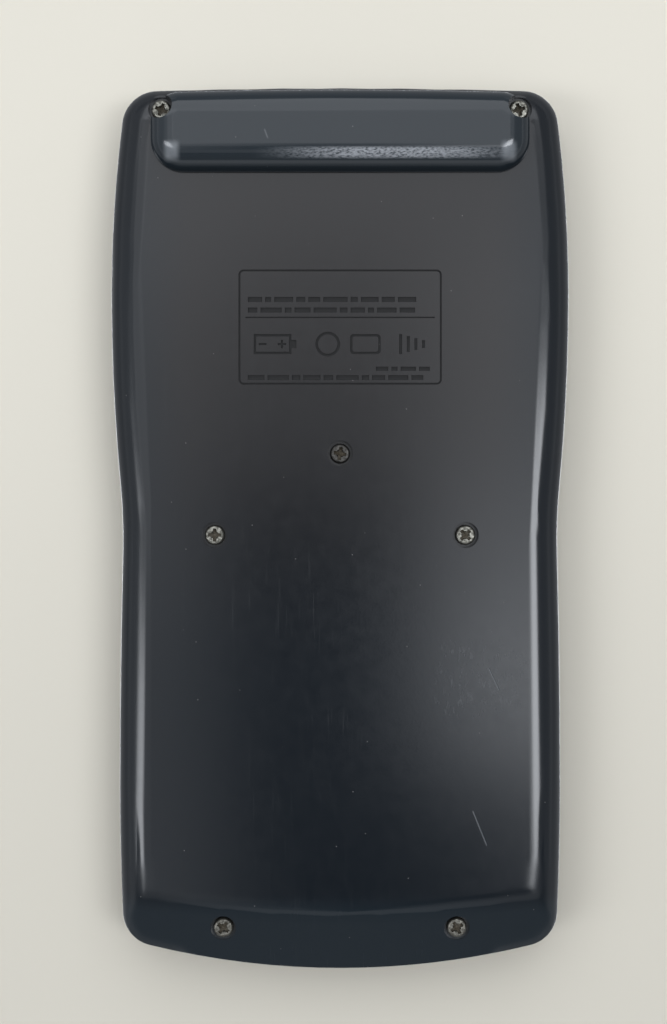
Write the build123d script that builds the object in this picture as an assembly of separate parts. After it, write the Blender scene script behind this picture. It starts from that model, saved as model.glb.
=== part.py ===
from build123d import *
import os

# A handheld school calculator with a single round cell, lying keys up.  Millimetres.
# X is its width and Y runs from the bottom end towards the display.  Z = 0 is the crest of the
# battery hump, the lowest point, and the keys are pressed along -Z.

# ---- Housing ---------------------------------------------------------------------------------
HALF_LENGTH = 76.0
UPPER_BULGE = (39.5, 40.0)        # widest point of the flank
UPPER_BULGE_R = 345.0             # between the widest point and the waist
SHOULDER_R = 245.0                # above the widest point
WAIST = (37.5, -2.0)
LOWER_BULGE = (38.05, -44.0)
FOOT_R = 480.0                    # below the lower bulge
TOP_END_R = 1000.0                # plan radii of the two ends
BOTTOM_END_R = 138.0
TOP_CORNER_R = 6.3
BOTTOM_CORNER_R = 6.0
BACK_Z = 4.6              # flat back, above the hump's crest
SEAM_Z = 10.6             # parting line between the two case halves
FACE_Z = 17.8             # front face that the keys stand out of
WALL = 1.6
SEAM_CHAMFER = 0.18
REAR_ROLL_R = 5.6         # rolled edge between the flat back and the flanks
FRONT_ROLL_R = 2.8

LIP_DEPTH = 1.2           # tongue of the rear half that locates the front half
LIP_T = 0.65
LIP_GAP = 0.1

# The bottom end of the back falls away on a wide cone about a vertical axis.
SLOPE_START_Y = -65.7     # crease where the slope starts, on the centre plane
SLOPE_START_R = 176.0     # and its plan radius
SLOPE_FALL = 0.42         # drop for each millimetre towards the end
CREASE_R = 7.0

# ---- Battery hump and bay ---------------------------------------------------------------------
HUMP_HALF_X = 32.2
HUMP_Y = (60.6, 74.5)
HUMP_LOWER_CORNER_R = 5.5
HUMP_UPPER_CORNER_R = 5.0
HUMP_ROLL_R = 4.2
CELL_R = 7.0
CELL_LENGTH = 49.5
CELL_NUB_R = 2.75
CELL_NUB = 1.0
CELL_Y = 67.3
CELL_Z = 9.5
BAY_HALF_X = 28.0
BAY_GAP = 0.3
CONTACT_T = 0.3
CONTACT_SIDE = 8.0
SPRING_R = 2.6
SPRING_WIRE_R = 0.28
SPRING_PITCH = 1.15

# ---- Screws -----------------------------------------------------------------------------------
TOP_SCREW = (30.5, 71.4)
CENTRE_SCREW = (0.0, 12.75)
MIDDLE_SCREW = (21.4, -1.15)
BOTTOM_SCREW = (20.0, -68.4)
SEAT_Z = 6.4              # floor of the screw wells in the flat back
BOTTOM_SEAT_Z = 7.6       # the same in the sloped bottom end
WELL_R = 2.2
SEAT_T = 1.6
HEAD_R = 1.7
HEAD_H = 1.2
SHANK_R = 0.95
SHANK_L = 6.6
CLEARANCE_R = 1.15
REAR_BOSS_R = 2.6
FRONT_BOSS_R = 2.2
THREAD_GAP = 0.03

# ---- Board, key sheet and display ---------------------------------------------------------------
BOARD_Z = 9.0
BOARD_T = 1.2
BOARD_HALF_X = 34.0
BOARD_Y = (-65.2, 37.0)
SHEET_T = 0.8
SHEET_HALF_X = 33.4
SHEET_Y = (-64.9, 33.2)
DOME_BASE_R = 2.6
DOME_TOP_R = 1.8
DOME_WALL = 0.5
DOME_H = 2.4
POSTS = ((6.75, -33.1), (20.25, -55.9), (30.5, 12.5))   # board posts, mirrored in X
POST_R = 1.6
BOARD_SCREW_HEAD_R = 1.4
BOARD_SCREW_HEAD_H = 0.8
BOARD_SCREW_R = 0.8
BOARD_SCREW_L = 4.2

VIEW_HALF_X = 29.0        # opening in the front face over the display
VIEW_Y = (38.5, 56.5)
WINDOW_BORDER = 2.3       # how far the window plate overlaps the face all round
WINDOW_T = 1.0
WINDOW_SINK = 0.2
WINDOW_GAP = 0.15
WINDOW_CORNER_R = 2.0
LCD_HALF_X = 31.0
LCD_Y = (37.6, 57.4)
LCD_Z = 14.0
LCD_LOWER_T = 1.0
LCD_UPPER_T = 0.9
LCD_LEDGE = 1.8           # bare strip of the lower glass that the ribbon is bonded to
RIBBON_HALF_X = 24.0
RIBBON_T = 0.2

# ---- Keys ---------------------------------------------------------------------------------------
KEY_GAP = 0.3             # between a key and its hole
KEY_FLANGE = 0.6
FLANGE_Z = 14.6
FLANGE_T = 1.2
KEY_WALL = 1.0
KEY_ROOF = 1.4
PLUNGER_R = 1.4
NUMBER_TOP_Z = 19.5
FUNCTION_TOP_Z = 19.1
NUMBER_SIZE = (10.8, 7.2)
NUMBER_CORNER_R = 1.8
NUMBER_PITCH = (13.5, 11.4)
NUMBER_TOP_ROW_Y = -27.4
FUNCTION_SIZE = (8.2, 5.4)
FUNCTION_PITCH = (10.7, 9.6)
FUNCTION_TOP_ROW_Y = 3.65
SHIFT_SIZE = (8.2, 4.8)
SHIFT_ROW_Y = 20.0
CURSOR_CENTRE = (0.0, 24.3)
CURSOR_R = (2.6, 7.8)
CURSOR_CORNER_R = 0.75
CURSOR_SPLIT = 0.9        # from a diagonal of the cursor ring to the side of a cursor key
KEY_EDGE_R = 0.6
DISH_R = 26.0             # hollow in a number key's top
DISH_DEPTH = 0.35

NUMBER_KEYS = (
    ("key_7", "key_8", "key_9", "key_delete", "key_all_clear"),
    ("key_4", "key_5", "key_6", "key_times", "key_divide"),
    ("key_1", "key_2", "key_3", "key_plus", "key_minus"),
    ("key_0", "key_point", "key_exponent", "key_answer", "key_equals"),
)
FUNCTION_KEYS = (
    ("key_reciprocal", "key_root", "key_square", "key_power", "key_log", "key_ln"),
    ("key_negate", "key_pi", "key_hyperbolic", "key_sine", "key_cosine", "key_tangent"),
    ("key_recall", "key_store", "key_bracket_open", "key_bracket_close", "key_percent", "key_memory"),
)
SHIFT_KEYS = ("key_shift", "key_alpha", None, None, "key_mode", "key_on")
CURSOR_KEYS = (
    ("key_cursor_right", 0),
    ("key_cursor_up", 90),
    ("key_cursor_left", 180),
    ("key_cursor_down", 270),
)

# ---- Rating panel moulded into the back -----------------------------------------------------------
PANEL_CENTRE_Y = 34.25
PANEL_SIZE = (34.6, 19.6)
PANEL_CORNER_R = 0.9
PANEL_LINE = 0.32
PANEL_DIVIDER_Y = 35.9
ENGRAVE = 0.22

UP = (Align.CENTER, Align.CENTER, Align.MIN)


def mirrored(point):
    """The point and its mirror image across the centre plane."""
    return [point, (-point[0], point[1])]


CASE_SCREWS = [(x, y, SEAT_Z) for x, y in (*mirrored(TOP_SCREW), CENTRE_SCREW, *mirrored(MIDDLE_SCREW))]
CASE_SCREWS += [(x, y, BOTTOM_SEAT_Z) for x, y in mirrored(BOTTOM_SCREW)]
BOARD_SCREWS = [place for post in POSTS for place in mirrored(post)]


def slab(half_x, y_range, z, thickness, corner):
    """Flat plate with rounded corners, from its half width, its two ends and its lower face."""
    plate = RectangleRounded(2 * half_x, y_range[1] - y_range[0], corner)
    return extrude(Pos(0, sum(y_range) / 2, z) * plate, thickness)


def drum(x, y, z, radius, height):
    """Upright cylinder standing on z."""
    return Pos(x, y, z) * Cylinder(radius, height, align=UP)


def cross_bar(x, y, z, radius, length):
    """Cylinder along X."""
    return Pos(x, y, z) * Rot(0, 90, 0) * Cylinder(radius, length)


# ---- Housing ----------------------------------------------------------------------------------------
def swing_radius(from_point, from_r, to_point):
    """Radius of the arc through to_point, upright there, that meets the opposite arc through from_point."""
    across = abs(from_point[0] - to_point[0])
    along = from_point[1] - to_point[1]
    return (along ** 2 + across ** 2) / (2 * across) - from_r


def meeting(centre, radius, other):
    """Point of a circle on the line from its centre to another circle's centre."""
    away = Vector(*other) - Vector(*centre)
    return Vector(*centre) + away * (radius / away.length)


def flank(side, inset):
    """One flank, run past both ends: five tangent arcs that stand upright at both bulges and the waist."""
    waist_r = swing_radius(UPPER_BULGE, UPPER_BULGE_R, WAIST)
    lower_r = swing_radius(WAIST, waist_r, LOWER_BULGE)
    waist_centre = (WAIST[0] + waist_r, WAIST[1])
    low = meeting((LOWER_BULGE[0] - lower_r, LOWER_BULGE[1]), lower_r - inset, waist_centre)
    high = meeting((UPPER_BULGE[0] - UPPER_BULGE_R, UPPER_BULGE[1]), UPPER_BULGE_R - inset, waist_centre)
    end = HALF_LENGTH + 10.0
    bulging = (
        (LOWER_BULGE, FOOT_R, -end, LOWER_BULGE[1]),
        (LOWER_BULGE, lower_r, LOWER_BULGE[1], low.Y),
        (UPPER_BULGE, UPPER_BULGE_R, high.Y, UPPER_BULGE[1]),
        (UPPER_BULGE, SHOULDER_R, UPPER_BULGE[1], end),
    )
    runs = [
        [on_circle((bulge[0] - radius, bulge[1]), radius - inset, y) for y in (y0, (y0 + y1) / 2, y1)]
        for bulge, radius, y0, y1 in bulging
    ]
    runs.insert(2, [low, Vector(WAIST[0] - inset, WAIST[1]), high])
    return [ThreePointArc(*[(side * point.X, point.Y) for point in run]) for run in runs]


def on_circle(centre, radius, y):
    """Right-hand point of a circle at height y."""
    return Vector(centre[0] + (radius ** 2 - (y - centre[1]) ** 2) ** 0.5, y)


def outline(inset=0.0):
    """Plan of the housing: waisted flanks, a nearly straight top end and a bowed bottom end."""
    right, left = flank(1, inset), flank(-1, inset)
    strip = make_face([*right, *left, Line(right[0] @ 0, left[0] @ 0), Line(right[-1] @ 1, left[-1] @ 1)])
    top_end = Pos(0, HALF_LENGTH - TOP_END_R) * Circle(TOP_END_R - inset)
    bottom_end = Pos(0, BOTTOM_END_R - HALF_LENGTH) * Circle(BOTTOM_END_R - inset)
    face = strip & top_end & bottom_end
    face = fillet(face.vertices().sort_by(Axis.Y)[:2], BOTTOM_CORNER_R - inset)
    return fillet(face.vertices().sort_by(Axis.Y)[-2:], TOP_CORNER_R - inset)


def tub(inset, floor_z, roll):
    """The rear half's bulk up to the seam, its lower edge rolled all round."""
    block = extrude(Pos(0, 0, floor_z) * outline(inset), SEAM_Z - floor_z)
    return fillet(block.faces().sort_by(Axis.Z)[0].edges(), roll)


def seam_edge(block, end):
    """Breaks the outer edge at the parting line: end is -1 for block's upper face and 0 for its lower."""
    return chamfer(block.faces().sort_by(Axis.Z)[end].edges(), SEAM_CHAMFER)


def slope_cutter(lift=0.0):
    """What the sloped bottom end takes off the back: a ring turned about the crease's own centre."""
    reach = SLOPE_START_R + 16.0
    points = (
        (SLOPE_START_R - 10.0, BACK_Z),
        (SLOPE_START_R, BACK_Z),
        (reach, BACK_Z + SLOPE_FALL * (reach - SLOPE_START_R)),
        (reach, -2.0),
        (SLOPE_START_R - 10.0, -2.0),
    )
    centre_y = SLOPE_START_Y + SLOPE_START_R
    section = make_face(Polyline(*[(centre_y - r, z) for r, z in points], close=True))
    crease = section.vertices().sort_by_distance((SLOPE_START_Y, BACK_Z, 0))[0]
    section = Plane.YZ * fillet(crease, CREASE_R)
    return Pos(0, 0, lift) * revolve(section, Axis((0, centre_y, 0), (0, 0, 1)))


def hump():
    """Raised transverse housing of the round cell, rolled along its crest and bowed like the top end."""
    plan = Pos(0, HUMP_Y[0] + HUMP_HALF_X) * Rectangle(2 * HUMP_HALF_X, 2 * HUMP_HALF_X)
    plan &= Pos(0, HUMP_Y[1] - TOP_END_R) * Circle(TOP_END_R)
    plan = fillet(plan.vertices().sort_by(Axis.Y)[:2], HUMP_LOWER_CORNER_R)
    plan = fillet(plan.vertices().sort_by(Axis.Y)[-2:], HUMP_UPPER_CORNER_R)
    block = extrude(plan, SEAM_Z - LIP_DEPTH)
    return fillet(block.faces().sort_by(Axis.Z)[0].edges(), HUMP_ROLL_R)


def bay():
    """Room for the round cell, open to the inside of the housing."""
    return cross_bar(0, CELL_Y, CELL_Z, CELL_R + BAY_GAP, 2 * BAY_HALF_X)


def dash_row(y, height, widths, start_x, gap=0.55):
    """A row of short bars standing for a line of small print."""
    bars = []
    x = start_x
    for width in widths:
        bars.append(Pos(x + width / 2, y) * Rectangle(width, height))
        x += width + gap
    return bars


def panel_marks():
    """Plan of the rating panel: frame, dividing line, rows of dashes and plain pictograms."""
    width, height = PANEL_SIZE
    frame = RectangleRounded(width, height, PANEL_CORNER_R)
    frame -= RectangleRounded(width - 2 * PANEL_LINE, height - 2 * PANEL_LINE, PANEL_CORNER_R - PANEL_LINE)
    marks = [Pos(0, PANEL_CENTRE_Y) * frame]
    marks.append(Pos(0, PANEL_DIVIDER_Y) * Rectangle(width - 2.4, 0.22))
    left = -width / 2 + 1.6
    top = PANEL_CENTRE_Y + height / 2
    bottom = PANEL_CENTRE_Y - height / 2
    marks += dash_row(top - 5.1, 0.85, (2.4, 1.0, 3.2, 1.5, 2.0, 4.1, 1.2, 3.0, 2.2, 3.1), left)
    marks += dash_row(top - 6.9, 0.85, (1.6, 3.6, 1.1, 2.7, 3.9, 1.3, 2.4, 1.0, 3.3, 2.6), left)
    marks += dash_row(bottom + 2.7, 0.7, (2.1, 1.0, 2.6, 1.8), width / 2 - 11.2)
    marks += dash_row(bottom + 1.2, 0.8, (2.8, 3.6, 1.4, 2.9, 1.6, 3.8, 1.2, 2.2, 3.4, 2.0), left)
    # A plain cell with its two signs, and a ring, a bar and a chevron.
    cell_y = bottom + 6.9
    cell = Rectangle(6.4, 3.4) - Rectangle(5.6, 2.6) + Pos(3.6, 0) * Rectangle(0.9, 1.4)
    cell += Pos(1.6, 0) * (Rectangle(1.4, 0.35) + Rectangle(0.35, 1.4)) + Pos(-1.7, 0) * Rectangle(1.3, 0.35)
    marks.append(Pos(left + 4.2, cell_y) * cell)
    marks.append(Pos(left + 13.6, cell_y) * (Circle(2.1) - Circle(1.65)))
    frame = RectangleRounded(5.2, 3.4, 0.6) - RectangleRounded(4.4, 2.6, 0.4)
    marks.append(Pos(left + 20.0, cell_y) * frame)
    marks += [Pos(left + 26.0 + 1.3 * i, cell_y) * Rectangle(0.5, 3.4 - 0.7 * i) for i in range(4)]
    # The panel is read from below, so it is turned over.
    return [Rot(0, 180, 0) * mark for mark in marks]


def rear_case():
    shell = seam_edge(tub(0, BACK_Z, REAR_ROLL_R), -1) - slope_cutter() + hump()
    floor_lift = WALL * (1 + SLOPE_FALL ** 2) ** 0.5
    cavity = tub(WALL, BACK_Z + WALL, REAR_ROLL_R - WALL) - slope_cutter(floor_lift)
    shell -= cavity

    lip_outer = WALL + LIP_GAP
    lip = extrude(Pos(0, 0, SEAM_Z) * (outline(lip_outer) - outline(lip_outer + LIP_T)), LIP_DEPTH)
    root = extrude(Pos(0, 0, SEAM_Z - 1.6) * (outline(WALL - 0.4) - outline(lip_outer + LIP_T)), 1.6)
    shell += lip + root

    for x, y, seat in CASE_SCREWS:
        shell += drum(x, y, SEAT_Z - 0.4, REAR_BOSS_R, seat + SEAT_T - SEAT_Z + 0.4) - slope_cutter()
    partition = Pos(0, HUMP_Y[0] - 1.4, BACK_Z + WALL) * Box(50.0, 1.0, 5.0, align=UP)
    shell += partition
    for side in (-1, 1):
        rib_x = side * (BAY_HALF_X + 0.5)
        shell += Pos(rib_x, CELL_Y - 1.9, BACK_Z + WALL) * Box(1.0, 7.0, 5.0, align=UP)
    shell -= bay()
    shell -= Pos(0, HALF_LENGTH - 3.0, SEAM_Z) * Box(2 * BAY_HALF_X, 6.0, LIP_DEPTH, align=UP)

    for x, y, seat in CASE_SCREWS:
        shell -= drum(x, y, 0, WELL_R, seat)
        shell -= drum(x, y, 0, CLEARANCE_R, seat + SEAT_T)
        shell -= drum(x, y, seat + SEAT_T, FRONT_BOSS_R + 0.2, SEAM_Z + 2 * LIP_DEPTH - seat)
    return shell - [extrude(Pos(0, 0, BACK_Z + ENGRAVE) * mark, ENGRAVE) for mark in panel_marks()]


def window_recess(gap=0.0):
    half_x = VIEW_HALF_X + WINDOW_BORDER - gap
    y_range = (VIEW_Y[0] - WINDOW_BORDER + gap, VIEW_Y[1] + WINDOW_BORDER - gap)
    return half_x, y_range


def front_case(keys):
    inner_z = FACE_Z - WALL - 0.2
    block = extrude(Pos(0, 0, SEAM_Z) * outline(), FACE_Z - SEAM_Z)
    block = seam_edge(fillet(block.faces().sort_by(Axis.Z)[-1].edges(), FRONT_ROLL_R), 0)
    cavity = extrude(Pos(0, 0, SEAM_Z) * outline(WALL), inner_z - SEAM_Z)
    cavity = fillet(cavity.faces().sort_by(Axis.Z)[-1].edges(), FRONT_ROLL_R - WALL)
    shell = block - cavity - bay()

    # A low wall round the display glass, open below for the ribbon.
    wall_y = (LCD_Y[0] - 1.3, LCD_Y[1] + 1.3)
    shell += slab(LCD_HALF_X + 1.3, wall_y, LCD_Z, inner_z - LCD_Z, 0.8)
    shell -= slab(LCD_HALF_X + 0.2, (LCD_Y[0] - 0.2, LCD_Y[1] + 0.2), LCD_Z, inner_z - LCD_Z, 0.3)
    ribbon_way = Pos(0, LCD_Y[0] - 1.0, LCD_Z) * Box(2 * RIBBON_HALF_X + 1.0, 2.4, inner_z - LCD_Z, align=UP)
    shell -= ribbon_way
    shell -= slab(VIEW_HALF_X, VIEW_Y, LCD_Z, FACE_Z, 1.0)
    half_x, y_range = window_recess()
    shell -= slab(half_x, y_range, FACE_Z - WINDOW_T - WINDOW_SINK, 2.0, WINDOW_CORNER_R)

    for x, y, seat in CASE_SCREWS:
        start = seat + SEAT_T
        shell += drum(x, y, start, FRONT_BOSS_R, inner_z + 0.2 - start)
        shell -= drum(x, y, start, SHANK_R + THREAD_GAP, SHANK_L)
    post_z = BOARD_Z + BOARD_T
    for x, y in BOARD_SCREWS:
        shell += drum(x, y, post_z, POST_R, inner_z + 0.2 - post_z)
        shell -= drum(x, y, post_z, BOARD_SCREW_R + THREAD_GAP, BOARD_SCREW_L)

    holes = [extrude(Pos(0, 0, inner_z - 1.0) * plan(KEY_GAP), WALL + 2.0) for plan, _, _ in keys.values()]
    return shell - holes


# ---- Keys -----------------------------------------------------------------------------------------
def number_plan(x, y):
    """Plan of a number key, as a function of how far it is grown."""
    width, height = NUMBER_SIZE

    def plan(grow):
        return Pos(x, y) * RectangleRounded(width + 2 * grow, height + 2 * grow, NUMBER_CORNER_R + grow)

    return plan


def slot_plan(x, y, size):
    """Plan of a round-ended key, as a function of how far it is grown."""
    width, height = size

    def plan(grow):
        return Pos(x, y) * SlotOverall(width + 2 * grow, height + 2 * grow)

    return plan


def cursor_plan(angle):
    """Quarter of a ring, drawn to the right of the ring's centre and turned into place."""
    inner, outer = CURSOR_R

    def plan(grow):
        reach = 2 * outer
        wedge = make_face(Polyline((0, 0), (reach, reach), (reach, -reach), close=True))
        ring = Circle(outer + grow) - Circle(inner - grow)
        quarter = ring & (Pos((CURSOR_SPLIT - grow) * 2 ** 0.5, 0) * wedge)
        quarter = fillet(quarter.vertices(), CURSOR_CORNER_R + 0.6 * grow)
        return Pos(*CURSOR_CENTRE) * Rot(0, 0, angle) * quarter

    return plan


def key_plans():
    """Every key by name: its plan as a function of growth, its plunger's place and its top's height."""
    plans = {}
    for row, names in enumerate(NUMBER_KEYS):
        for column, name in enumerate(names):
            place = ((column - 2) * NUMBER_PITCH[0], NUMBER_TOP_ROW_Y - row * NUMBER_PITCH[1])
            plans[name] = (number_plan(*place), place, NUMBER_TOP_Z)
    rows = [(SHIFT_ROW_Y, SHIFT_KEYS, SHIFT_SIZE)]
    for row, names in enumerate(FUNCTION_KEYS):
        rows.append((FUNCTION_TOP_ROW_Y - row * FUNCTION_PITCH[1], names, FUNCTION_SIZE))
    for y, names, size in rows:
        for column, name in enumerate(names):
            if name:
                place = ((column - 2.5) * FUNCTION_PITCH[0], y)
                plans[name] = (slot_plan(*place, size), place, FUNCTION_TOP_Z)
    for name, angle in CURSOR_KEYS:
        place = Vector(*CURSOR_CENTRE) + Vector(sum(CURSOR_R) / 2, 0).rotate(Axis.Z, angle)
        plans[name] = (cursor_plan(angle), (place.X, place.Y), FUNCTION_TOP_Z)
    return plans


def key_cap(plan, place, top_z):
    """A hollow moulded key with a retaining flange and a plunger over its dome."""
    cap = extrude(Pos(0, 0, FLANGE_Z) * plan(0), top_z - FLANGE_Z)
    if top_z == NUMBER_TOP_Z:
        cap -= Pos(*place, top_z + DISH_R - DISH_DEPTH) * Sphere(DISH_R)
    cap = fillet(cap.faces().sort_by(Axis.Z)[-1].edges(), KEY_EDGE_R)
    cap += extrude(Pos(0, 0, FLANGE_Z) * plan(KEY_FLANGE), FLANGE_T)
    cap -= extrude(Pos(0, 0, FLANGE_Z) * plan(-KEY_WALL), top_z - KEY_ROOF - FLANGE_Z)
    dome_top = BOARD_Z + BOARD_T + SHEET_T + DOME_H
    return cap + drum(*place, dome_top, PLUNGER_R, top_z - KEY_ROOF - dome_top + 0.2)


# ---- Inner parts ------------------------------------------------------------------------------------
def boss_ways(z, height, radius):
    """Holes for the case bosses that pass through the board and the key sheet."""
    return [drum(x, y, z, radius, height) for x, y in (CENTRE_SCREW, *mirrored(MIDDLE_SCREW))]


def circuit_board():
    board = slab(BOARD_HALF_X, BOARD_Y, BOARD_Z, BOARD_T, 3.0)
    board -= boss_ways(BOARD_Z, BOARD_T, FRONT_BOSS_R + 0.4)
    return board - [drum(x, y, BOARD_Z, BOARD_SCREW_R + 0.2, BOARD_T) for x, y in BOARD_SCREWS]


def key_sheet(keys):
    """Silicone sheet with a hollow dome under every key."""
    base = BOARD_Z + BOARD_T
    sheet = slab(SHEET_HALF_X, SHEET_Y, base, SHEET_T, 2.0)
    rise = SHEET_T + DOME_H
    for _, place, _ in keys.values():
        spot = Pos(*place, base)
        sheet += spot * Pos(0, 0, SHEET_T) * Cone(DOME_BASE_R, DOME_TOP_R, DOME_H, align=UP)
        sheet -= spot * Cone(DOME_BASE_R - DOME_WALL, DOME_TOP_R - DOME_WALL, rise - 1.0, align=UP)
    sheet -= boss_ways(base, SHEET_T, FRONT_BOSS_R + 0.3)
    return sheet - [drum(x, y, base, POST_R + 0.3, SHEET_T) for x, y in BOARD_SCREWS]


def board_components():
    """Potted chip, resonator, capacitor and a row of resistors under the board."""
    potting = Pos(-9.0, 22.0, BOARD_Z) * Rot(180, 0, 0) * Cylinder(6.0, 1.5, align=UP)
    potting = fillet(potting.faces().sort_by(Axis.Z)[0].edges(), 1.3)
    down = (Align.CENTER, Align.CENTER, Align.MAX)
    resonator = Pos(9.0, 26.0, BOARD_Z) * Box(7.0, 3.0, 1.9, align=down)
    capacitor = Pos(18.0, 24.0, BOARD_Z) * Box(5.0, 4.0, 2.0, align=down)
    capacitor = fillet(capacitor.edges().filter_by(Axis.Z), 0.8)
    resistors = [Pos(-24.0 + 3.2 * i, 8.5, BOARD_Z) * Box(2.0, 1.2, 0.6, align=down) for i in range(5)]
    return Compound([potting.solid(), resonator.solid(), capacitor.solid(), *[r.solid() for r in resistors]])


def display_glass():
    lower = slab(LCD_HALF_X, LCD_Y, LCD_Z, LCD_LOWER_T, 0.2)
    upper = slab(LCD_HALF_X, (LCD_Y[0] + LCD_LEDGE, LCD_Y[1]), LCD_Z + LCD_LOWER_T, LCD_UPPER_T, 0.2)
    return lower + upper


def display_ribbon():
    """Flat heat-seal ribbon from the board up and over onto the glass's ledge."""
    board_top = BOARD_Z + BOARD_T + RIBBON_T / 2
    ledge = LCD_Z + LCD_LOWER_T + RIBBON_T / 2
    turn_y = LCD_Y[0] - 0.8
    corners = ((34.0, board_top), (turn_y, board_top), (turn_y, ledge), (LCD_Y[0] + 1.6, ledge))
    path = FilletPolyline(*corners, radius=0.6)
    return extrude(Plane.YZ * trace(path, RIBBON_T), RIBBON_HALF_X, both=True)


def display_window():
    half_x, y_range = window_recess(WINDOW_GAP)
    plate = slab(half_x, y_range, FACE_Z - WINDOW_T - WINDOW_SINK, WINDOW_T, WINDOW_CORNER_R - WINDOW_GAP)
    return chamfer(plate.faces().sort_by(Axis.Z)[-1].edges(), 0.25)


def battery_cell():
    nub_x = -BAY_HALF_X + CONTACT_T
    body = cross_bar(nub_x + CELL_NUB + CELL_LENGTH / 2, CELL_Y, CELL_Z, CELL_R, CELL_LENGTH)
    body = fillet(body.edges().filter_by(GeomType.CIRCLE), 0.5)
    return body + cross_bar(nub_x + CELL_NUB / 2 + 0.2, CELL_Y, CELL_Z, CELL_NUB_R, CELL_NUB + 0.4)


def contact_plate(side):
    """Sprung sheet contact against the bay's end rib, with a solder tab."""
    x = side * (BAY_HALF_X - CONTACT_T / 2)
    plate = Pos(x, CELL_Y, CELL_Z) * Box(CONTACT_T, CONTACT_SIDE, CONTACT_SIDE)
    plate = fillet(plate.edges().filter_by(Axis.X), 1.0)
    return plate + Pos(x, CELL_Y - CONTACT_SIDE / 2 - 1.0, CELL_Z) * Box(CONTACT_T, 3.0, 2.0)


def positive_contact():
    return contact_plate(-1)


def negative_spring():
    """Coil spring fixed to the negative contact plate."""
    start_x = -BAY_HALF_X + CONTACT_T + CELL_NUB + CELL_LENGTH + SPRING_WIRE_R + 0.05
    length = BAY_HALF_X - CONTACT_T - start_x
    coil = Helix(SPRING_PITCH, length, SPRING_R)
    wire = sweep(Plane(coil @ 0, z_dir=coil % 0) * Circle(SPRING_WIRE_R), coil)
    return contact_plate(1) + Pos(start_x, CELL_Y, CELL_Z) * Rot(0, 90, 0) * wire


def battery_wires():
    """One lead from each contact's tab to the top edge of the board."""
    leads = []
    for side in (-1, 1):
        tab_x = side * (BAY_HALF_X - CONTACT_T - 0.6)
        points = (
            (tab_x, 61.4, CELL_Z - 0.5),
            (tab_x, 52.0, 7.9),
            (side * 28.6, 43.0, 7.5),
            (side * 28.2, 35.0, 7.5),
            (side * 27.4, 29.0, 8.2),
        )
        path = FilletPolyline(*points, radius=(8.0, 9.0, 7.0))
        leads.append(sweep(Plane(path @ 0, z_dir=path % 0) * Circle(0.45), path).solid())
    return Compound(leads)


def screw(head_r, head_h, shank_r, shank_l):
    """Pan-head screw pointing up, seated at the origin, with a cross recess in its head."""
    head = Pos(0, 0, -head_h) * Cylinder(head_r, head_h, align=UP)
    head = fillet(head.faces().sort_by(Axis.Z)[0].edges(), 0.4 * head_h)
    shank = Cylinder(shank_r, shank_l - shank_r, align=UP)
    point = Pos(0, 0, shank_l - shank_r) * Cone(shank_r, 0.2, shank_r * 0.9, align=UP)
    depth = 0.6 * head_h
    blade = Pos(0, 0, -head_h) * Box(1.3 * head_r, 0.36 * head_r, depth, align=UP)
    centre = Pos(0, 0, -head_h) * Cone(0.42 * head_r, 0.15 * head_r, depth * 1.2, align=UP)
    return head + shank + point - blade - Rot(0, 0, 90) * blade - centre


def case_screws():
    turns = (20, 75, 10, 0, 45, 35, 60)
    body = screw(HEAD_R, HEAD_H, SHANK_R, SHANK_L - 0.4)
    placed = [Pos(*place) * Rot(0, 0, turn) * body for place, turn in zip(CASE_SCREWS, turns)]
    return Compound([part.solid() for part in placed])


def board_screws():
    body = screw(BOARD_SCREW_HEAD_R, BOARD_SCREW_HEAD_H, BOARD_SCREW_R, BOARD_T + BOARD_SCREW_L - 0.4)
    return Compound([(Pos(x, y, BOARD_Z) * body).solid() for x, y in BOARD_SCREWS])


# ---- Assembly ---------------------------------------------------------------------------------------
keys = key_plans()
nodes = {
    "rear_case": rear_case(),
    "front_case": front_case(keys),
    "display_window": display_window(),
    "display_glass": display_glass(),
    "display_ribbon": display_ribbon(),
    "circuit_board": circuit_board(),
    "board_components": board_components(),
    "rubber_key_sheet": key_sheet(keys),
    "battery_cell": battery_cell(),
    "negative_spring": negative_spring(),
    "positive_contact": positive_contact(),
    "battery_wires": battery_wires(),
    "case_screws": case_screws(),
    "board_screws": board_screws(),
}
for name, (plan, place, top_z) in keys.items():
    nodes[name] = key_cap(plan, place, top_z)

os.makedirs("parts", exist_ok=True)
for name, shape in nodes.items():
    export_step(shape, f"parts/{name}.step")
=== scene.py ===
import bpy
import math
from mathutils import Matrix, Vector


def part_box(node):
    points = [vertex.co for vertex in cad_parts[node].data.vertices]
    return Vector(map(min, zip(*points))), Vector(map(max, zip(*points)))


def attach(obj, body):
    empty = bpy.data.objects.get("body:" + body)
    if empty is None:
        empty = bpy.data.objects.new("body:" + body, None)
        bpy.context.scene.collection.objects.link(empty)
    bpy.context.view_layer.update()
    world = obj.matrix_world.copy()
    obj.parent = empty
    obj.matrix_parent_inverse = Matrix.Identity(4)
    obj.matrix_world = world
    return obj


# Looks of a handheld school calculator seen from the back, lying keys down on pale paper.
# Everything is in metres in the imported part's own frame; the shaders measure in millimetres.
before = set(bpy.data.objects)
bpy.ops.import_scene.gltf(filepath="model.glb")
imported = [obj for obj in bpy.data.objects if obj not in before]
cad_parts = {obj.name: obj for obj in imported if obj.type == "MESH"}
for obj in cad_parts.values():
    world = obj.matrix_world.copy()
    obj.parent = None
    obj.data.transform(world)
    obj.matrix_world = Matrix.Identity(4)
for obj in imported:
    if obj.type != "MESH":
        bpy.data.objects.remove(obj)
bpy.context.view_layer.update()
scene = bpy.context.scene
MM = 0.001
BACK_Z = 4.6                # flat back, above the hump's crest
SEAT_Z = 6.4                # floor of the screw wells in the flat back
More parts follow.
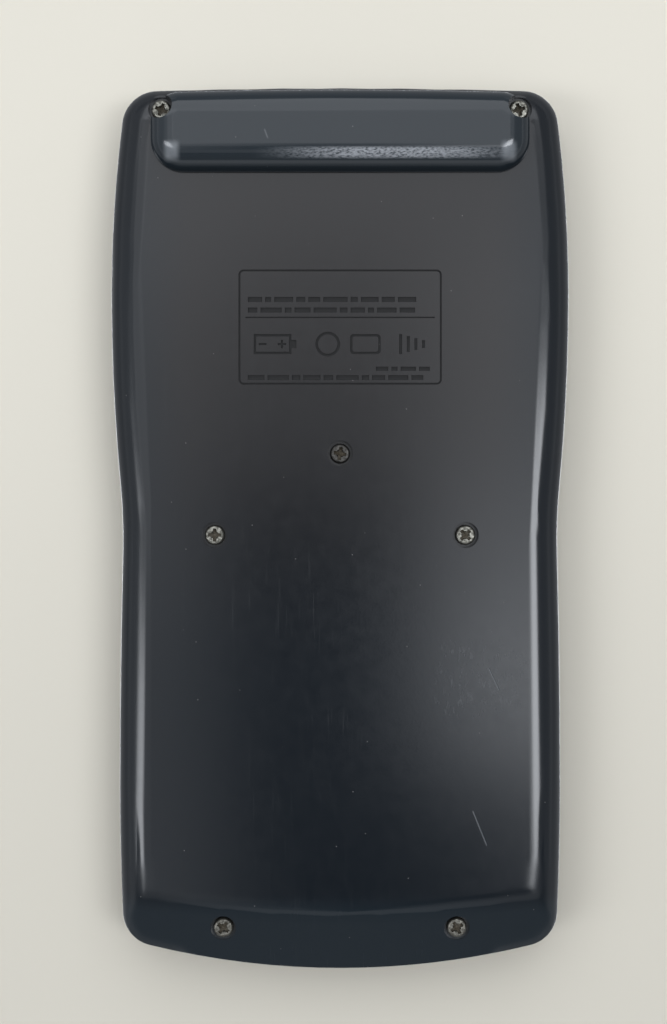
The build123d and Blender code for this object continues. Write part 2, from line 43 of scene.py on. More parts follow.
BOTTOM_SEAT_Z = 7.6         # the same in the sloped bottom end
SCREW_HEAD_H = 1.2


# ---- Node trees -------------------------------------------------------------------------------
class Tree:
    """A shader tree under construction. Every method adds a node and returns its output."""

    def __init__(self, tree):
        self.nodes, self.links = tree.nodes, tree.links
        self.nodes.clear()

    def add(self, kind, inputs=(), output=0, **settings):
        node = self.nodes.new(kind)
        for key, value in settings.items():
            setattr(node, key, value)
        for key, value in dict(inputs).items():
            if isinstance(value, bpy.types.NodeSocket):
                self.links.new(value, node.inputs[key])
            else:
                node.inputs[key].default_value = value
        return node.outputs[output]

    def math(self, operation, a, b=0.0, clamp=False):
        return self.add("ShaderNodeMath", {0: a, 1: b}, operation=operation, use_clamp=clamp)

    def product(self, *values):
        result = values[0]
        for value in values[1:]:
            result = self.math("MULTIPLY", result, value)
        return result

    def total(self, *values):
        result = values[0]
        for value in values[1:]:
            result = self.math("ADD", result, value)
        return result

    def step(self, value, low, high, to_low=0.0, to_high=1.0):
        """Smooth ramp from to_low, where value is low, to to_high, where value is high."""
        inputs = {"Value": value, "From Min": low, "From Max": high, "To Min": to_low, "To Max": to_high}
        return self.add("ShaderNodeMapRange", inputs, interpolation_type="SMOOTHSTEP")

    def within(self, value, low, high, soft):
        """1 between low and high, falling to 0 over soft on both sides."""
        return self.product(self.step(value, low - soft, low), self.step(value, high, high + soft, 1.0, 0.0))

    def millimetres(self, stretch=(1.0, 1.0, 1.0)):
        """Position on the object in millimetres, scaled along each axis."""
        place = self.add("ShaderNodeTexCoord", output="Object")
        scale = [factor / MM for factor in stretch]
        return self.add("ShaderNodeVectorMath", {0: place, 1: scale}, operation="MULTIPLY")

    def axes(self, place):
        """The three coordinates of a place or direction."""
        split = self.nodes.new("ShaderNodeSeparateXYZ")
        self.links.new(place, split.inputs[0])
        return split.outputs

    def noise(self, place, per_mm, detail=2.0):
        return self.add("ShaderNodeTexNoise", {"Vector": place, "Scale": per_mm, "Detail": detail})

    def mix(self, share, first, second):
        """Colour between two colours."""
        inputs = {"Factor": share, 6: first, 7: second}
        return self.add("ShaderNodeMix", inputs, output=2, data_type="RGBA")

    def bump(self, height, distance_mm, under=None):
        inputs = {"Height": height, "Distance": distance_mm * MM}
        if under is not None:
            inputs["Normal"] = under
        return self.add("ShaderNodeBump", inputs)


def rgb(red, green, blue):
    return (red, green, blue, 1.0)


def new_material(name):
    material = bpy.data.materials.new(name)
    material.use_nodes = True
    return material, Tree(material.node_tree)


def close(tree, **inputs):
    """Ends a tree with the plain shader; spaces in its input names are written as underscores."""
    sockets = {key.replace("_", " "): value for key, value in inputs.items()}
    shader = tree.add("ShaderNodeBsdfPrincipled", sockets)
    out = tree.nodes.new("ShaderNodeOutputMaterial")
    tree.links.new(shader, out.inputs["Surface"])


def specks(tree, place, per_mm, radius_mm, share):
    """Scattered round specks: 1 inside a speck."""
    cell = tree.nodes.new("ShaderNodeTexVoronoi")
    tree.links.new(place, cell.inputs["Vector"])
    cell.inputs["Scale"].default_value = per_mm
    chosen = tree.math("LESS_THAN", tree.add("ShaderNodeSeparateColor", {0: cell.outputs["Color"]}), share)
    reach = radius_mm * per_mm
    spot = tree.step(cell.outputs["Distance"], 0.5 * reach, reach, 1.0, 0.0)
    return tree.product(chosen, spot)


def streaks(tree, across_per_mm, along_per_mm, low, high, patch_per_mm=0.05):
    """Fine scratches running along Y, strong in some patches and missing in others."""
    lines = tree.noise(tree.millimetres((across_per_mm, along_per_mm, 0.3)), 1.0, 3.0)
    patches = tree.noise(tree.millimetres(), patch_per_mm, 2.0)
    return tree.product(tree.step(lines, low, high), tree.step(patches, 0.42, 0.62))


def moulded(name, colour, roughness, grain_mm=0.004, dust=0.25, specular=0.5):
    """Moulded plastic: slight colour drift, spark-eroded grain, rubbed patches and a little dust."""
    material, tree = new_material(name)
    place = tree.millimetres()
    drift = tree.noise(place, 0.09, 3.0)
    grain = tree.noise(place, 4.5, 2.0)
    rubbed = tree.noise(place, 0.35, 4.0)
    dusty = tree.product(specks(tree, place, 0.55, 0.16, 0.3), dust)
    darker = [0.86 * channel for channel in colour]
    lighter = [min(1.0, 1.12 * channel) for channel in colour]
    body = tree.mix(drift, rgb(*darker), rgb(*lighter))
    body = tree.mix(dusty, body, rgb(0.45, 0.44, 0.41))
    rough = tree.total(roughness - 0.07, tree.product(rubbed, 0.14), tree.product(dusty, 0.4))
    bump = tree.bump(grain, grain_mm)
    close(tree, Base_Color=body, Roughness=rough, Normal=bump, Specular_IOR_Level=specular)
    return material


def metal(name, colour, roughness, tarnish=0.3):
    """Plain plated or drawn metal with tarnish in patches."""
    material, tree = new_material(name)
    place = tree.millimetres()
    patches = tree.step(tree.noise(place, 0.9, 4.0), 0.4, 0.65)
    dull = [0.45 * channel for channel in colour]
    body = tree.mix(tree.product(patches, tarnish), rgb(*colour), rgb(*dull))
    rough = tree.total(roughness, tree.product(patches, 0.2))
    bump = tree.bump(tree.noise(place, 6.0), 0.004)
    close(tree, Base_Color=body, Metallic=1.0, Roughness=rough, Normal=bump)
    return material


def screw_metal():
    """Screws rubbed bare in places, with brown dust in their recesses. The centre one, deep in its well, is
    painted dark as shade.
    """
    material, tree = new_material("screw_steel")
    place = tree.millimetres()
    x, y, z = tree.axes(place)
    patches = tree.step(tree.noise(place, 1.9, 4.0), 0.40, 0.62)
    fine = tree.noise(place, 7.0, 2.0)
    centre = tree.product(tree.within(y, 8.0, 17.0, 1.0), tree.within(x, -5.0, 5.0, 1.0))
    low = tree.step(y, -60.0, -66.0)
    worn = tree.mix(patches, rgb(0.25, 0.245, 0.215), rgb(0.10, 0.098, 0.085))
    body = tree.mix(tree.product(low, 0.55), worn, rgb(0.075, 0.07, 0.06))
    # Painted shade on the centre screw, deep in its well.
    body = tree.mix(tree.product(centre, 0.85), body, rgb(0.035, 0.033, 0.032))
    seat = tree.step(y, -40.0, -66.0, SEAT_Z, BOTTOM_SEAT_Z)
    depth = tree.math("SUBTRACT", z, tree.math("SUBTRACT", seat, SCREW_HEAD_H))
    recess = tree.step(depth, 0.25, 0.55)
    body = tree.mix(tree.product(recess, 0.85), body, rgb(0.045, 0.034, 0.018))
    rough = tree.total(0.34, tree.product(patches, 0.18), tree.product(recess, 0.35))
    metallic = tree.math("SUBTRACT", 0.9, tree.product(recess, 0.8))
    relief = tree.total(tree.product(fine, 0.6), patches)
    close(tree, Base_Color=body, Metallic=metallic, Roughness=rough, Normal=tree.bump(relief, 0.03))
    return material


# ---- Back of the housing -----------------------------------------------------------------------
def scratch(tree, place, start, end, width):
    """One scratch between two points of the back, in millimetres: 1 on it."""
    run, rise = end[0] - start[0], end[1] - start[1]
    length = math.hypot(run, rise)
    x, y = place
    dx, dy = tree.math("SUBTRACT", x, start[0]), tree.math("SUBTRACT", y, start[1])
    along = tree.total(tree.product(dx, run / length), tree.product(dy, rise / length))
    aside = tree.total(tree.product(dx, -rise / length), tree.product(dy, run / length))
    line = tree.step(tree.math("ABSOLUTE", aside), 0.0, width, 1.0, 0.0)
    return tree.product(line, tree.within(along, 0.0, length, 0.4))


def back_plastic():
    """Dark navy back: fine grain, rubbed along the hump's lower crest with a painted highlight there and at
    each end of the crest, a painted sheen towards the top, painted shade in the engraving, scuffed, a little
    dusty.
    """
    material, tree = new_material("back_plastic")
    place = tree.millimetres()
    x, y, z = tree.axes(place)
    grain = tree.noise(place, 3.6, 2.0)
    fine = tree.noise(place, 9.0, 1.0)
    cloud = tree.noise(place, 0.045, 3.0)
    rubbed = tree.noise(place, 0.5, 4.0)

    panel = tree.product(tree.within(x, -18.0, 18.0, 1.0), tree.within(y, 24.0, 44.8, 0.6))
    engraving_and_shade = tree.product(tree.step(z, BACK_Z + 0.04, BACK_Z + 0.12), panel)

    # Painted sheen: the back towards the top end is painted lighter and browner for the ceiling's reflection,
    # the lower back stays blue. The hump and the sloped bottom end are lighter and bluer.
    sheen_area = tree.step(y, -28.0, 34.0)
    blue, brown = rgb(0.0035, 0.0060, 0.0090), rgb(0.0120, 0.0108, 0.0108)
    aside = tree.math("ABSOLUTE", x)
    body = tree.mix(tree.product(sheen_area, tree.step(aside, 24.0, 36.0, 1.0, 0.0)), blue, brown)
    body = tree.mix(tree.product(cloud, 0.25), body, rgb(0.0080, 0.0100, 0.0130))
    hump = tree.step(z, BACK_Z - 0.5, BACK_Z - 0.1, 1.0, 0.0)
    bottom = tree.step(y, -62.0, -66.0)
    body = tree.mix(hump, body, rgb(0.0130, 0.0185, 0.0235))
    body = tree.mix(bottom, body, rgb(0.0080, 0.0130, 0.0175))

    # Painted shade: the engraved marks are darkened in their recesses.
    body = tree.mix(tree.product(engraving_and_shade, 0.8), body, rgb(0.0020, 0.0021, 0.0023))
    lines = streaks(tree, 5.5, 0.10, 0.60, 0.74)
    long_lines = streaks(tree, 1.6, 0.035, 0.62, 0.70, 0.03)
    marks = tree.total(
        scratch(tree, (x, y), (-22.7, -48.3), (-24.9, -53.8), 0.16),
        scratch(tree, (x, y), (-25.4, -24.0), (-27.0, -27.4), 0.11),
        scratch(tree, (x, y), (12.65, 66.9), (12.25, 65.8), 0.20),
    )
    # The hump's lower crest is rubbed, and painted brighter as a highlight band.
    crest = tree.product(tree.within(y, 62.7, 63.8, 0.6), tree.step(z, 0.4, 1.6, 1.0, 0.0))
    stipple = tree.step(tree.noise(tree.millimetres((1.9, 5.0, 1.0)), 1.0, 3.0), 0.22, 0.66)
    crest = tree.product(crest, tree.within(x, -13.5, -4.5, 20.0), stipple)
    # Painted highlights at each end of the hump's crest.
    off_end = tree.math("SUBTRACT", aside, 28.4)
    end_highlights = tree.product(tree.within(off_end, -0.5, 0.5, 1.2), tree.within(y, 62.9, 64.3, 1.3), hump)
    scuffs = tree.product(tree.within(x, -28.0, -20.0, 6.0), tree.within(y, -29.0, -22.0, 5.0))
    flecks = tree.noise(tree.millimetres((2.2, 0.7, 1.0)), 1.0, 3.0)
    scuffs = tree.product(scuffs, tree.step(flecks, 0.56, 0.68))
    dust = specks(tree, place, 0.42, 0.12, 0.38)

    body = tree.mix(tree.product(lines, 0.02), body, rgb(0.10, 0.105, 0.11))
    body = tree.mix(tree.product(long_lines, 0.02), body, rgb(0.10, 0.105, 0.11))
    body = tree.mix(tree.product(tree.math("ADD", marks, 0.0, clamp=True), 0.40), body, rgb(0.16, 0.17, 0.18))
    # Painted highlight along the rubbed crest.
    body = tree.mix(tree.product(crest, 0.95), body, rgb(0.30, 0.315, 0.335))
    # Painted highlights at each end of the crest.
    body = tree.mix(tree.product(end_highlights, 0.60), body, rgb(0.22, 0.235, 0.25))
    body = tree.mix(tree.product(scuffs, 0.22), body, rgb(0.12, 0.125, 0.13))
    body = tree.mix(tree.product(dust, 0.35), body, rgb(0.22, 0.21, 0.20))

    rough = tree.total(
        0.105,
        tree.product(rubbed, 0.05),
        tree.product(lines, 0.03),
        tree.product(scuffs, 0.08),
        tree.product(dust, 0.35),
        tree.product(engraving_and_shade, 0.66),
        tree.step(z, BACK_Z + 0.06, BACK_Z + 1.0, 0.0, 0.12),
    )
    relief = tree.total(grain, tree.product(fine, 0.5), tree.product(lines, -0.3), tree.product(marks, -2.0))

    # The mitres where the sloped end meets the side rolls are worn round, and so is the hump's foot.
    plain = tree.add("ShaderNodeNewGeometry", output="Normal")
    rounded = tree.add("ShaderNodeBevel", {"Radius": 2.6 * MM}, samples=8)
    corner = tree.product(tree.step(aside, 25.0, 29.0), tree.step(y, -55.0, -59.0))
    near_back = tree.product(tree.step(z, 3.0, 3.6), tree.step(z, BACK_Z - 0.10, BACK_Z - 0.01, 1.0, 0.0))
    foot = tree.product(tree.step(y, 57.5, 59.0), near_back)
    soft = tree.math("MAXIMUM", corner, foot)
    normal = tree.add("ShaderNodeMix", {0: soft, 4: plain, 5: rounded}, output=1, data_type="VECTOR")
    bump = tree.bump(relief, 0.0022, normal)
    close(tree, Base_Color=body, Roughness=rough, Normal=bump)
    return material


# ---- Other materials ---------------------------------------------------------------------------
def window_acrylic():
    material, tree = new_material("window_acrylic")
    place = tree.millimetres()
    haze = tree.step(tree.noise(place, 0.25, 4.0), 0.45, 0.75)
    hairlines = streaks(tree, 0.7, 5.0, 0.63, 0.72)
    rough = tree.total(0.03, tree.product(haze, 0.05), tree.product(hairlines, 0.12))
    bump = tree.bump(hairlines, 0.001)
    inputs = {"Base_Color": rgb(0.97, 0.98, 0.97), "Roughness": rough, "Normal": bump, "IOR": 1.49}
    close(tree, Transmission_Weight=1.0, **inputs)
    return material


def display_glass():
    """Reflective liquid crystal panel: grey-green, with a faint grid of electrodes."""
    material, tree = new_material("display_glass")
    place = tree.millimetres()
    grid = tree.add("ShaderNodeTexWave", {"Vector": place, "Scale": 0.9, "Distortion": 0.0}, output=1)
    cloud = tree.noise(place, 0.08, 3.0)
    body = tree.mix(cloud, rgb(0.30, 0.34, 0.27), rgb(0.36, 0.40, 0.32))
    body = tree.mix(tree.product(grid, 0.04), body, rgb(0.20, 0.23, 0.19))
    bump = tree.bump(tree.noise(place, 5.0), 0.001)
    close(tree, Base_Color=body, Roughness=tree.total(0.12, tree.product(cloud, 0.08)), Normal=bump)
    return material


def board_laminate():
    """Phenolic board: brown laminate with a weave and darker traces under green lacquer."""
    material, tree = new_material("board_laminate")
    place = tree.millimetres()
    weave = tree.add("ShaderNodeTexWave", {"Vector": place, "Scale": 1.4, "Distortion": 1.5}, output=1)
    traces = tree.step(tree.noise(tree.millimetres((0.9, 0.25, 1.0)), 1.0, 1.0), 0.50, 0.54)
    body = tree.mix(tree.product(weave, 0.25), rgb(0.16, 0.25, 0.09), rgb(0.24, 0.32, 0.14))
    body = tree.mix(tree.product(traces, 0.6), body, rgb(0.09, 0.17, 0.06))
    rough = tree.total(0.38, tree.product(weave, 0.12))
    close(tree, Base_Color=body, Roughness=rough, Normal=tree.bump(traces, 0.02))
    return material


def ink(name, colour):
    """Pad-printed legend ink, slightly uneven."""
    material, tree = new_material(name)
    place = tree.millimetres()
    patches = tree.noise(place, 3.0, 3.0)
    body = tree.mix(patches, rgb(*[0.85 * c for c in colour]), rgb(*colour))
    rough = tree.total(0.42, tree.product(patches, 0.16))
    close(tree, Base_Color=body, Roughness=rough, Normal=tree.bump(patches, 0.002))
    return material


MATERIALS = {
    "rear_plastic": back_plastic(),
    "front_plastic": moulded("front_plastic", (0.034, 0.039, 0.047), 0.34),
    "window_acrylic": window_acrylic(),
    "display_glass": display_glass(),
    "ribbon_film": moulded("ribbon_film", (0.55, 0.33, 0.10), 0.35, 0.002, 0.05),
    "board_laminate": board_laminate(),
    "component_epoxy": moulded("component_epoxy", (0.012, 0.012, 0.013), 0.28, 0.006, 0.1),
    "key_rubber": moulded("key_rubber", (0.42, 0.42, 0.40), 0.58, 0.006, 0.1, 0.35),
    "cell_jacket": moulded("cell_jacket", (0.05, 0.16, 0.30), 0.25, 0.001, 0.1),
    "contact_steel": metal("contact_steel", (0.62, 0.60, 0.55), 0.28),
    "wire_insulation": moulded("wire_insulation", (0.45, 0.03, 0.02), 0.40, 0.002, 0.05),
    "screw_steel": screw_metal(),
    "number_key_plastic": moulded("number_key_plastic", (0.50, 0.51, 0.50), 0.36, 0.003, 0.12),
    "function_key_plastic": moulded("function_key_plastic", (0.045, 0.048, 0.053), 0.38, 0.003, 0.2),
    "clear_key_plastic": moulded("clear_key_plastic", (0.62, 0.10, 0.035), 0.34, 0.003, 0.12),
    "cursor_key_plastic": moulded("cursor_key_plastic", (0.30, 0.31, 0.32), 0.33, 0.003, 0.15),
}
WHITE_INK = ink("white_ink", (0.78, 0.78, 0.75))
DARK_INK = ink("dark_ink", (0.020, 0.021, 0.023))
AMBER_INK = ink("amber_ink", (0.62, 0.36, 0.05))

# CAD nodes keep their meshes; each node's slots take the better material of its record slot.
for name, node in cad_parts.items():
    for slot in node.material_slots:
        wanted = (slot.material.name if slot.material else "").split(".")[0]
        if wanted not in MATERIALS:
            raise SystemExit(f"{name}: no material for slot {wanted!r}")
        slot.material = MATERIALS[wanted]


# ---- Smooth shading ---------------------------------------------------------------------------
def smoothing_group(edge_angle):
    """Joins the faces' shared corners, shades everything smooth and keeps edges sharper than edge_angle."""
    group = bpy.data.node_groups.new("join_and_smooth", "GeometryNodeTree")
    group.interface.new_socket("Geometry", in_out="INPUT", socket_type="NodeSocketGeometry")
    group.interface.new_socket("Geometry", in_out="OUTPUT", socket_type="NodeSocketGeometry")
    nodes, links = group.nodes, group.links
    start, end = nodes.new("NodeGroupInput"), nodes.new("NodeGroupOutput")
    merge = nodes.new("GeometryNodeMergeByDistance")
    merge.inputs["Distance"].default_value = 0.002 * MM
    faces = nodes.new("GeometryNodeSetShadeSmooth")
    edges = nodes.new("GeometryNodeSetShadeSmooth")
    edges.domain = "EDGE"
    angle = nodes.new("GeometryNodeInputMeshEdgeAngle")
    gentle = nodes.new("FunctionNodeCompare")
    gentle.operation = "LESS_THAN"
    gentle.inputs[1].default_value = edge_angle
    links.new(angle.outputs[0], gentle.inputs[0])
    links.new(gentle.outputs[0], edges.inputs["Shade Smooth"])
    links.new(start.outputs[0], merge.inputs["Geometry"])
    links.new(merge.outputs[0], faces.inputs[0])
    links.new(faces.outputs[0], edges.inputs[0])
    links.new(edges.outputs[0], end.inputs[0])
    return group


JOIN_AND_SMOOTH = smoothing_group(math.radians(32.0))
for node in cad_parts.values():
    node.modifiers.new("join_and_smooth", "NODES").node_group = JOIN_AND_SMOOTH
    flats = node.modifiers.new("join_flats", "DECIMATE")
    flats.decimate_type = "DISSOLVE"
    flats.angle_limit = math.radians(0.4)
    flats.delimit = {"SHARP"}
    weighted = node.modifiers.new("weighted_normals", "WEIGHTED_NORMAL")
    weighted.mode = "FACE_AREA"
    weighted.weight = 80
    weighted.keep_sharp = True


# ---- Print and display ------------------------------------------------------------------------
def piece_from(name, mesh, material, body):
    mesh.materials.clear()
    mesh.materials.append(material)
    piece = bpy.data.objects.new(name, mesh)
    scene.collection.objects.link(piece)
    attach(piece, body)
    return piece


def lettering(name, text, size_mm, place_mm, height, material, body):
    """Printed legend, centred on place_mm. height gives the printed surface's z in millimetres at (x, y)."""
    curve = bpy.data.curves.new(name, "FONT")
    curve.body = text
    curve.size = size_mm
    curve.align_x, curve.align_y = "CENTER", "CENTER"
    curve.resolution_u = 3
    maker = bpy.data.objects.new(name + ".maker", curve)
    scene.collection.objects.link(maker)
    mesh = bpy.data.meshes.new_from_object(maker.evaluated_get(bpy.context.evaluated_depsgraph_get()))
    bpy.data.objects.remove(maker)
    xs = [v.co.x for v in mesh.vertices]
    ys = [v.co.y for v in mesh.vertices]
    middle = ((min(xs) + max(xs)) / 2, (min(ys) + max(ys)) / 2)
    for vertex in mesh.vertices:
        x = place_mm[0] + vertex.co.x - middle[0]
        y = place_mm[1] + vertex.co.y - middle[1]
        vertex.co = (x * MM, y * MM, (height(x, y) + 0.012) * MM)
    return piece_from(name, mesh, material, body)


def flat_shape(name, outlines, z_mm, material, body):
    """Thin flat print made of closed outlines in millimetres."""
    points, faces = [], []
    for outline in outlines:
        first = len(points)
        points += [(x * MM, y * MM, z_mm * MM) for x, y in outline]
        faces.append(tuple(range(first, len(points))))
    mesh = bpy.data.meshes.new(name)
    mesh.from_pydata(points, [], faces)
    return piece_from(name, mesh, material, body)


LEGENDS = {
    "key_7": "7", "key_8": "8", "key_9": "9", "key_delete": "DEL", "key_all_clear": "AC",
    "key_4": "4", "key_5": "5", "key_6": "6", "key_times": "\u00d7", "key_divide": "\u00f7",
    "key_1": "1", "key_2": "2", "key_3": "3", "key_plus": "+", "key_minus": "\u2212",
    "key_0": "0", "key_point": "\u2022", "key_exponent": "EXP", "key_answer": "Ans", "key_equals": "=",
    "key_reciprocal": "1/x", "key_root": "\u221a", "key_square": "x\u00b2", "key_power": "^",
    "key_log": "log", "key_ln": "ln", "key_negate": "(\u2212)", "key_pi": "\u03c0", "key_hyperbolic": "hyp",
    "key_sine": "sin", "key_cosine": "cos", "key_tangent": "tan", "key_recall": "RCL", "key_store": "STO",
    "key_bracket_open": "(", "key_bracket_close": ")", "key_percent": "%", "key_memory": "M+",
    "key_shift": "SHIFT", "key_alpha": "ALPHA", "key_mode": "MODE", "key_on": "ON",
}
SECOND_LEGENDS = {
    "key_reciprocal": "x!", "key_root": "\u221b", "key_square": "x\u00b3", "key_power": "x\u221a",
    "key_log": "10^x", "key_ln": "e^x",
    "key_hyperbolic": "abs", "key_sine": "asin", "key_cosine": "acos", "key_tangent": "atan",
    "key_bracket_open": "Pol", "key_bracket_close": "Rec", "key_memory": "M\u2212",
}
CURSOR_TURNS = {"key_cursor_right": 0, "key_cursor_up": 90, "key_cursor_left": 180, "key_cursor_down": 270}
DISH_R, DISH_DEPTH, NUMBER_TOP, FUNCTION_TOP, FACE = 26.0, 0.35, 19.5, 19.1, 17.8


def middle_of(node):
    low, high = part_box(node)
    return ((low.x + high.x) / 2 / MM, (low.y + high.y) / 2 / MM)


def dished(centre):
    """Height of a number key's hollow top over its own centre."""
    def height(x, y):
        off = math.hypot(x - centre[0], y - centre[1])
        return NUMBER_TOP + DISH_R - DISH_DEPTH - math.sqrt(DISH_R ** 2 - off ** 2)
    return height


def flat(z):
    return lambda x, y: z


for key, text in LEGENDS.items():
    centre = middle_of(key)
    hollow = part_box(key)[1].z / MM > NUMBER_TOP - 0.2
    sizes = (4.6, 2.9, 2.9) if hollow else (3.1, 2.6, 2.2)
    size = 1.85 if text in ("SHIFT", "ALPHA", "MODE", "ON") else sizes[min(len(text), 3) - 1]
    pale = key in ("key_delete", "key_all_clear") or not hollow
    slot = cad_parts[key].material_slots[0].name.split(".")[0]
    surface = dished(centre) if hollow else flat(FUNCTION_TOP)
    lettering("legend_" + key, text, size, centre, surface, WHITE_INK if pale else DARK_INK, key)
for key, text in SECOND_LEGENDS.items():
    x, y = middle_of(key)
    above = (x - 1.2, y + 3.9)
    lettering("print_" + key, text, 1.55, above, flat(FACE), AMBER_INK, "housing")
for key, turn in CURSOR_TURNS.items():
    x, y = middle_of(key)
    c, s = math.cos(math.radians(turn)), math.sin(math.radians(turn))
    arrow = [(x + c * a - s * b, y + s * a + c * b) for a, b in ((1.1, 0.0), (-0.6, 1.0), (-0.6, -1.0))]
    flat_shape("arrow_" + key, [arrow], FUNCTION_TOP + 0.012, DARK_INK, key)

# The dark border is printed on the window's underside; the display shows a lone nought.
outer, inner = (31.0, 36.5, 58.5), (29.0, 38.5, 56.5)
corners = [[(-w, y0), (w, y0), (w, y1), (-w, y1)] for w, y0, y1 in (outer, inner)]
border = [[corners[0][i], corners[0][(i + 1) % 4], corners[1][(i + 1) % 4], corners[1][i]] for i in range(4)]
flat_shape("window_border", border, 16.615, DARK_INK, "housing")


def segment(x0, y0, x1, y1, half=0.28):
    """Slim hexagon between two points, as a display segment."""
    run, rise = x1 - x0, y1 - y0
    length = math.hypot(run, rise)
    a, b = run / length, rise / length
    return [
        (x0, y0),
        (x0 + half * (a - b), y0 + half * (b + a)),
        (x1 - half * (a + b), y1 - half * (b - a)),
        (x1, y1),
        (x1 - half * (a - b), y1 - half * (b + a)),
        (x0 + half * (a + b), y0 + half * (b - a)),
    ]


left, right, low, waist, high = 22.2, 24.8, 40.6, 43.4, 46.2
nought = [segment(left, low, right, low), segment(left, high, right, high)]
nought += [segment(x, low + 0.15, x, waist - 0.15) for x in (left, right)]
nought += [segment(x, waist + 0.15, x, high - 0.15) for x in (left, right)]
nought.append([(25.9, 40.3), (26.5, 40.3), (26.5, 40.9), (25.9, 40.9)])
flat_shape("display_nought", nought, 15.91, DARK_INK, "housing")

# ---- Stage, light and camera --------------------------------------------------------------------
# The sheet of paper lies against the keys. A second, upward sheet carries the part when it's seen keys up.
KEYS_TOP = 19.55 * MM


def sheet_material(name, colour):
    """Paper that is clear from behind, with painted shade making it a little darker towards -Y."""
    material, tree = new_material(name)
    place = tree.millimetres()
    fibre = tree.noise(place, 0.8, 4.0)
    broad = tree.noise(place, 0.012, 2.0)
    painted_falloff = tree.step(tree.axes(place)["Y"], -110.0, 95.0)
    # Painted light falloff towards -Y.
    body = tree.mix(painted_falloff, rgb(*[c * 0.80 for c in colour]), rgb(*colour))
    body = tree.mix(tree.product(broad, 0.10), body, rgb(*[c * 0.90 for c in colour]))
    paper = tree.add("ShaderNodeBsdfDiffuse", {"Color": body, "Normal": tree.bump(fibre, 0.01)})
    clear = tree.nodes.new("ShaderNodeBsdfTransparent").outputs[0]
    behind = tree.add("ShaderNodeNewGeometry", output="Backfacing")
    mixed = tree.add("ShaderNodeMixShader", {0: behind, 1: paper, 2: clear})
    out = tree.nodes.new("ShaderNodeOutputMaterial")
    tree.links.new(mixed, out.inputs["Surface"])
    return material


def sheet(name, corners, material):
    mesh = bpy.data.meshes.new(name)
    mesh.from_pydata(corners, [], [(0, 1, 2, 3)])
    mesh.materials.append(material)
    piece = bpy.data.objects.new(name, mesh)
    scene.collection.objects.link(piece)
    piece.visible_shadow = False
    piece.visible_diffuse = False
    piece.visible_glossy = False
    piece.visible_transmission = False
    return piece


def floor_height(y):
    """The part leans on the crest of its hump and on the crease of its bottom end."""
    rest_high, rest_low = (64.8 * MM, 0.0), (-65.0 * MM, BACK_Z * MM)
    share = (y - rest_high[0]) / (rest_low[0] - rest_high[0])
    return rest_high[1] + share * (rest_low[1] - rest_high[1]) - 0.02 * MM


FAR = 9.0
paper_down = [(-FAR, FAR, KEYS_TOP), (FAR, FAR, KEYS_TOP), (FAR, -FAR, KEYS_TOP), (-FAR, -FAR, KEYS_TOP)]
sheet("paper_under_keys", paper_down, sheet_material("paper_under_keys", (0.662, 0.629, 0.546)))
paper_up = [(x, y, floor_height(y)) for x, y in ((-FAR, -FAR), (FAR, -FAR), (FAR, FAR), (-FAR, FAR))]
sheet("paper_under_hump", paper_up, sheet_material("paper_under_hump", (0.80, 0.79, 0.75)))

# The room: a pale ceiling over the back of the part, dark where the viewer leans over it. u and v are
# where a direction meets a plane one unit below the part, so a mirror-flat back shows them in proportion.
world = bpy.data.worlds.new("room")
world.use_nodes = True
scene.world = world
sky = Tree(world.node_tree)
direction = sky.add("ShaderNodeTexCoord", output="Generated")
east, north, rise = sky.axes(direction)
fall = sky.math("MAXIMUM", sky.math("MULTIPLY", rise, -1.0), 0.02)
u = sky.math("DIVIDE", east, fall)
v = sky.math("DIVIDE", north, fall)
below = sky.step(rise, -0.12, 0.12, 1.0, 0.0)

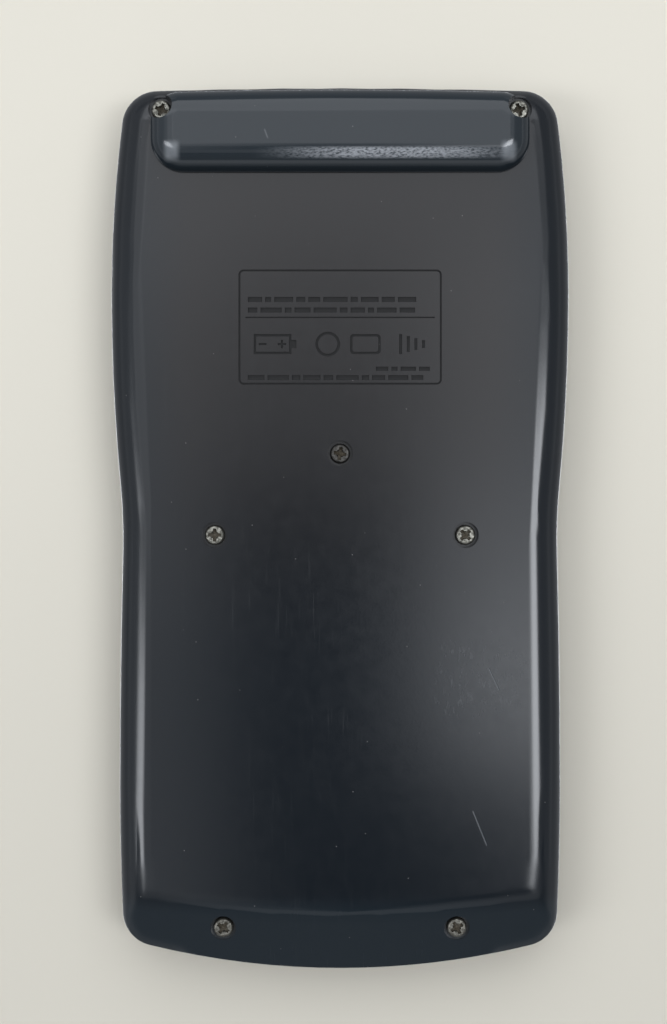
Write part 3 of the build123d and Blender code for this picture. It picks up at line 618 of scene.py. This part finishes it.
# Each patch: u from, to and softness; v from, to and softness; brightness added to the room's own.
ROOM = 0.85
PATCHES = (
    ((-0.026, 0.040, 0.042), (-0.34, -0.005, 0.055), -0.82),    # the viewer's head and hands
    ((-0.30, 0.0, 0.03), (-0.34, -0.155, 0.03), -0.72),
    ((-1.3, 1.3, 0.06), (-0.80, -0.36, 0.06), -0.30),           # the viewer's lit shoulders
    ((-1.3, 1.3, 0.10), (-3.0, -0.80, 0.10), -0.62),            # and body
    ((-0.115, -0.052, 0.02), (-0.108, 0.12, 0.02), 0.75),       # pale wall beside the viewer
    ((-0.160, -0.058, 0.018), (-0.104, 0.00, 0.018), 0.55),
    ((-0.060, 0.030, 0.03), (0.050, 0.14, 0.03), -0.26),
    ((-0.140, -0.098, 0.014), (-0.200, -0.110, 0.014), 0.40),
    ((0.090, 0.140, 0.02), (-0.05, 0.16, 0.02), 0.20),
    ((0.160, 0.62, 0.08), (0.00, 0.50, 0.08), 0.50),
    ((-0.150, -0.078, 0.022), (-0.118, -0.055, 0.022), 1.20),   # its brightest part
    ((-0.30, 0.14, 0.10), (0.165, 0.30, 0.10), 0.66),           # ceiling beyond the viewer
    ((-0.9, 0.9, 0.10), (0.38, 2.5, 0.10), 1.05),
    ((0.62, 1.15, 0.26), (-0.34, -0.102, 0.05), 6.5),           # lamps out to both sides
    ((-0.60, -0.34, 0.24), (-0.18, 0.03, 0.05), 8.9),
    ((-9.0, -0.95, 0.25), (-3.0, 3.0, 0.25), -0.48),            # dim far walls
    ((1.30, 9.0, 0.25), (-3.0, 3.0, 0.25), -0.28),
    ((-9.0, 9.0, 0.30), (2.8, 60.0, 0.30), -0.55),
)
light = sky.total(ROOM, 0.0)
for u_range, v_range, gain in PATCHES:
    light = sky.total(light, sky.product(sky.within(u, *u_range), sky.within(v, *v_range), gain))
light = sky.math("MAXIMUM", light, 0.04)
above = sky.step(rise, 0.930, 0.985, 0.36, 7.4)
light = sky.total(sky.product(light, below), sky.product(above, sky.math("SUBTRACT", 1.0, below)))
glow = sky.add("ShaderNodeBackground", {"Color": rgb(0.965, 0.995, 1.045), "Strength": light})
world_out = sky.nodes.new("ShaderNodeOutputWorld")
sky.links.new(glow, world_out.inputs["Surface"])
scene.view_settings.view_transform = "Standard"

camera_data = bpy.data.cameras.new("camera")
camera_data.lens = 70.0
camera_data.sensor_width = 36.0
camera = bpy.data.objects.new("camera", camera_data)
camera.location = (0.001126, 0.00277, -0.3344)
camera.rotation_euler = (0.0, math.pi, 0.0)
scene.collection.objects.link(camera)
scene.camera = camera
